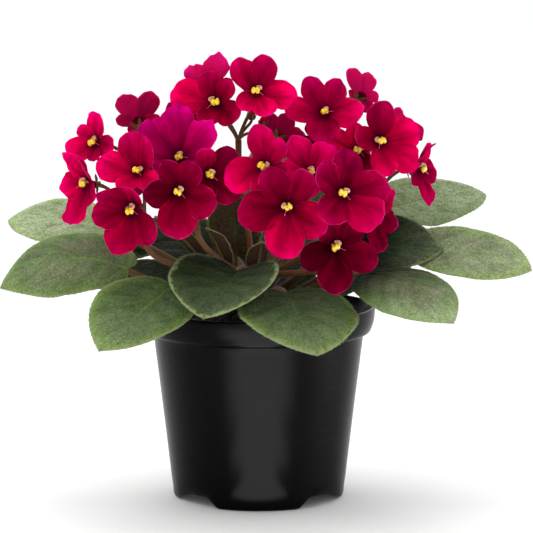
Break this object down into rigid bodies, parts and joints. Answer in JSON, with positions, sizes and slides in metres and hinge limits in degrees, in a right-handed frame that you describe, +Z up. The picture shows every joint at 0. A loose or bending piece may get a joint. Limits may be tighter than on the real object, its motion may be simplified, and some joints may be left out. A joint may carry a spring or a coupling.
{
  "type": "potted african violet",
  "caption": "Flowering African violet: a rosette of notched heart-shaped leaves under a dome of crimson blooms on forked stalks, in a round tapered nursery pot of soil.",
  "frame": {"origin": "on the pot's axis, on the surface that the pot's feet stand on, which is the bottom centre of the whole plant's box", "axes": "+Z up along the pot's axis; the side with most blooms faces -Y; +X to the right of that side, along the plant's widest spread"},
  "size_m": [0.2354, 0.1976, 0.1994],
  "materials": {
    "pot_plastic": "satin",
    "soil": "matte",
    "stem": "matte",
    "leaf": "matte",
    "petal": "matte"
  },
  "bodies": {
    "root": {"pot": "pot_plastic", "soil": "soil", "crown": "stem", "leaf_01": "leaf", "leaf_02": "leaf", "leaf_03": "leaf", "leaf_04": "leaf", "leaf_05": "leaf", "leaf_06": "leaf", "leaf_07": "leaf", "leaf_08": "leaf", "leaf_09": "leaf", "leaf_10": "leaf", "leaf_11": "leaf", "leaf_12": "leaf", "leaf_13": "leaf", "leaf_14": "leaf", "leaf_15": "leaf", "leaf_16": "leaf", "leaf_17": "leaf", "leaf_18": "leaf", "bloom_01": "petal", "bloom_02": "petal", "bloom_03": "petal", "bloom_04": "petal", "bloom_05": "petal", "bloom_06": "petal", "bloom_07": "petal", "bloom_08": "petal", "bloom_09": "petal", "bloom_10": "petal", "bloom_11": "petal", "bloom_12": "petal", "bloom_13": "petal", "bloom_14": "petal", "bloom_15": "petal", "bloom_16": "petal", "bloom_17": "petal", "bloom_18": "petal", "bloom_19": "petal", "bloom_20": "petal", "bloom_21": "petal", "bloom_22": "petal", "bloom_23": "petal", "bloom_24": "petal", "bloom_25": "petal", "bloom_26": "petal", "bloom_27": "petal", "bloom_28": "petal", "bloom_29": "petal", "bloom_30": "petal", "stalk_1": "stem", "stalk_2": "stem", "stalk_3": "stem", "stalk_4": "stem", "stalk_5": "stem", "stalk_6": "stem", "stalk_7": "stem", "stalk_8": "stem", "stalk_9": "stem"}
  },
  "joints": []
}
